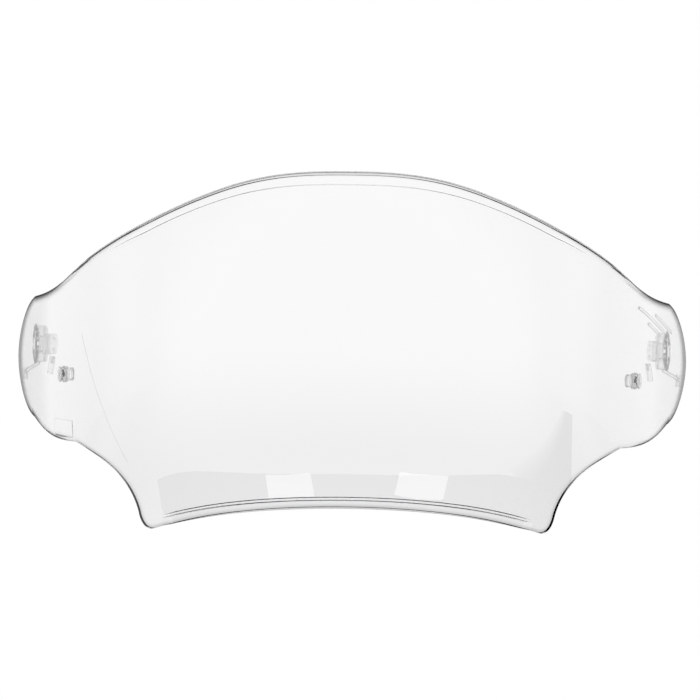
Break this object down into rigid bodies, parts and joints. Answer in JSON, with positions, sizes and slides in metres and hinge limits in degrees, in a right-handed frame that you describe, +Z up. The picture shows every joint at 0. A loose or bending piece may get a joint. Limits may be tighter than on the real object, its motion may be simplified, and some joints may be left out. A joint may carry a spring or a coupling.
{
  "type": "motorcycle helmet visor",
  "caption": "Clear wraparound visor for an open-face motorcycle helmet, with bayonet pivot keys inside its arms and adjustable eccentric pins for an anti-fog lens.",
  "frame": {"origin": "midway between the two pivot keys, on the axis the visor swings about on its helmet", "axes": "+Z up, the wearer looks along -Y, +X to the right of someone who faces the visor"},
  "size_m": [0.2622, 0.1725, 0.1255],
  "materials": {
    "clear_moulding": "clear polished polycarbonate",
    "clear_pin": "clear moulded plastic",
    "soft_washer": "clear soft silicone"
  },
  "bodies": {
    "visor": {"visor_shell": "clear_moulding", "left_pin_washer": "soft_washer", "right_pin_washer": "soft_washer"},
    "left_pin": {"left_lens_pin": "clear_pin", "left_pin_screw": "clear_pin"},
    "right_pin": {"right_lens_pin": "clear_pin", "right_pin_screw": "clear_pin"}
  },
  "joints": [
    {"name": "left_pin_turn", "type": "hinge", "parent": "visor", "child": "left_pin", "pos_m": [-0.10557, -0.0506, -0.0104], "axis": [-0.9369, -0.3494, -0.0065], "range_deg": [0, 180]},
    {"name": "right_pin_turn", "type": "hinge", "parent": "visor", "child": "right_pin", "pos_m": [0.10557, -0.0506, -0.0104], "axis": [0.9369, -0.3494, -0.0065], "range_deg": [0, 180]}
  ]
}
